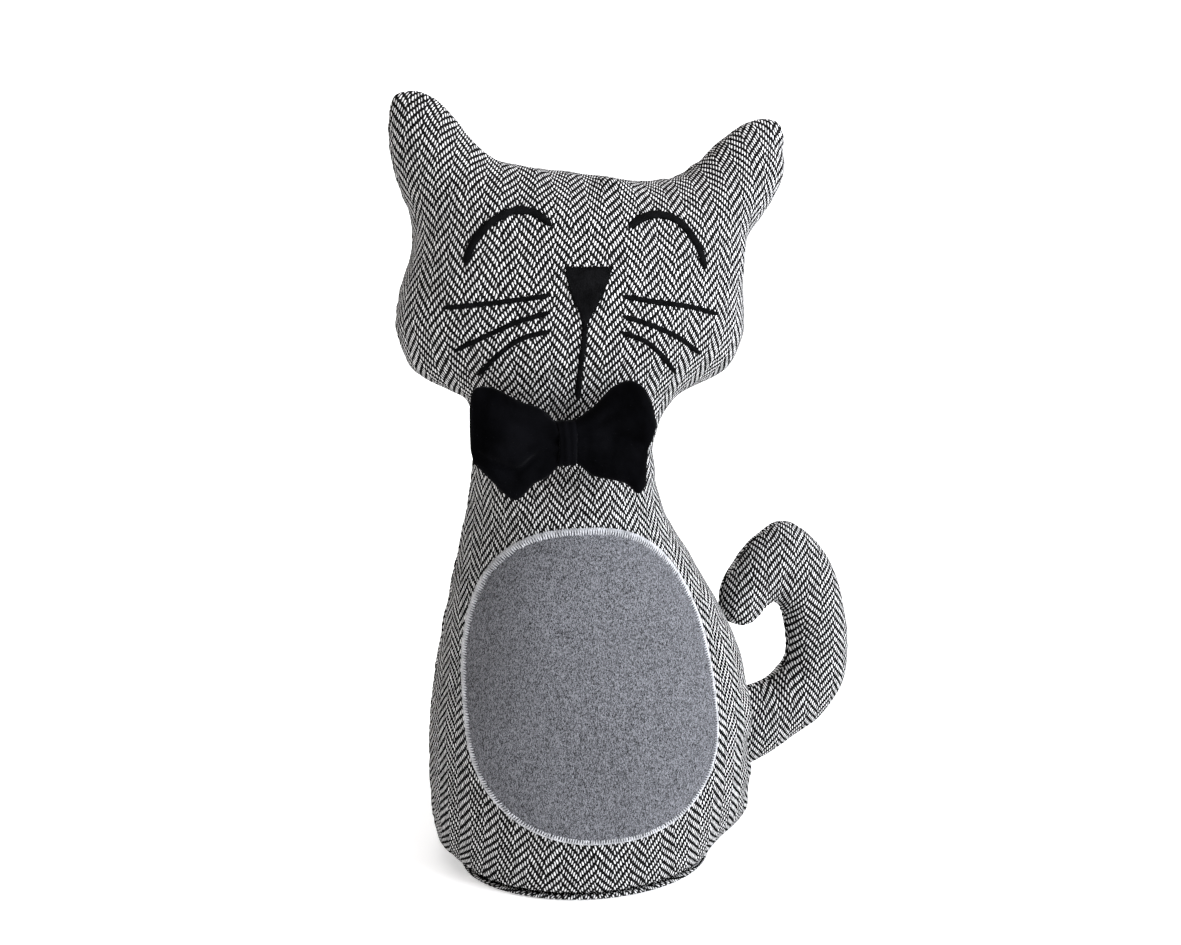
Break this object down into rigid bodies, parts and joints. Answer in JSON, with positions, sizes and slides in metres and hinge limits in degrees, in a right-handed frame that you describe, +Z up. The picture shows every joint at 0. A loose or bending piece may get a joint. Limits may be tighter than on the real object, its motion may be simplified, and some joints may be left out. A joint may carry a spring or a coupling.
{
  "type": "plush cat",
  "caption": "Seated cloth cat with a weighted base, stuffed head and ears, curled stuffed tail sewn to the back, felt belly patch and a velvet bow tie.",
  "frame": {"origin": "middle of the underside, on the surface the cat stands on", "axes": "+Z up, the face looks along -Y, the tail is on the +X side"},
  "size_m": [0.2309, 0.1184, 0.3455],
  "materials": {
    "tweed": "black and white herringbone wool cloth",
    "felt": "grey melange felt",
    "pale_thread": "pale cotton thread",
    "black_thread": "black embroidery thread",
    "velvet": "black velvet",
    "fibre": "white polyester fibre",
    "pouch_cloth": "plain cotton calico",
    "sand": "dry sand, poured"
  },
  "bodies": {
    "cat": {"front_panel": "tweed", "back_panel": "tweed", "base_panel": "tweed", "head_filling": "fibre", "body_filling": "fibre", "weight_pouch": "pouch_cloth", "ballast": "sand", "belly_patch": "felt", "patch_edging": "pale_thread", "left_eye": "black_thread", "right_eye": "black_thread", "nose": "black_thread", "mouth": "black_thread", "left_whiskers": "black_thread", "right_whiskers": "black_thread", "closing_stitches": "black_thread", "tail_tack_stitches": "black_thread", "bow_tack_thread": "black_thread"},
    "tail": {"tail_front_panel": "tweed", "tail_back_panel": "tweed", "tail_filling": "fibre"},
    "bow_tie": {"bow_strip": "velvet", "bow_band": "velvet"}
  },
  "joints": [
    {"name": "tail_swing", "type": "hinge", "parent": "cat", "child": "tail", "pos_m": [0.0755, 0.04, 0.037], "axis": [0, 0, 1], "range_deg": [-12, 25], "stiffness_Nm_per_rad": 0.4},
    {"name": "bow_tilt", "type": "hinge", "parent": "cat", "child": "bow_tie", "pos_m": [-0.0205, -0.051, 0.202], "axis": [0, 1, 0], "range_deg": [-12, 12], "stiffness_Nm_per_rad": 0.05}
  ]
}
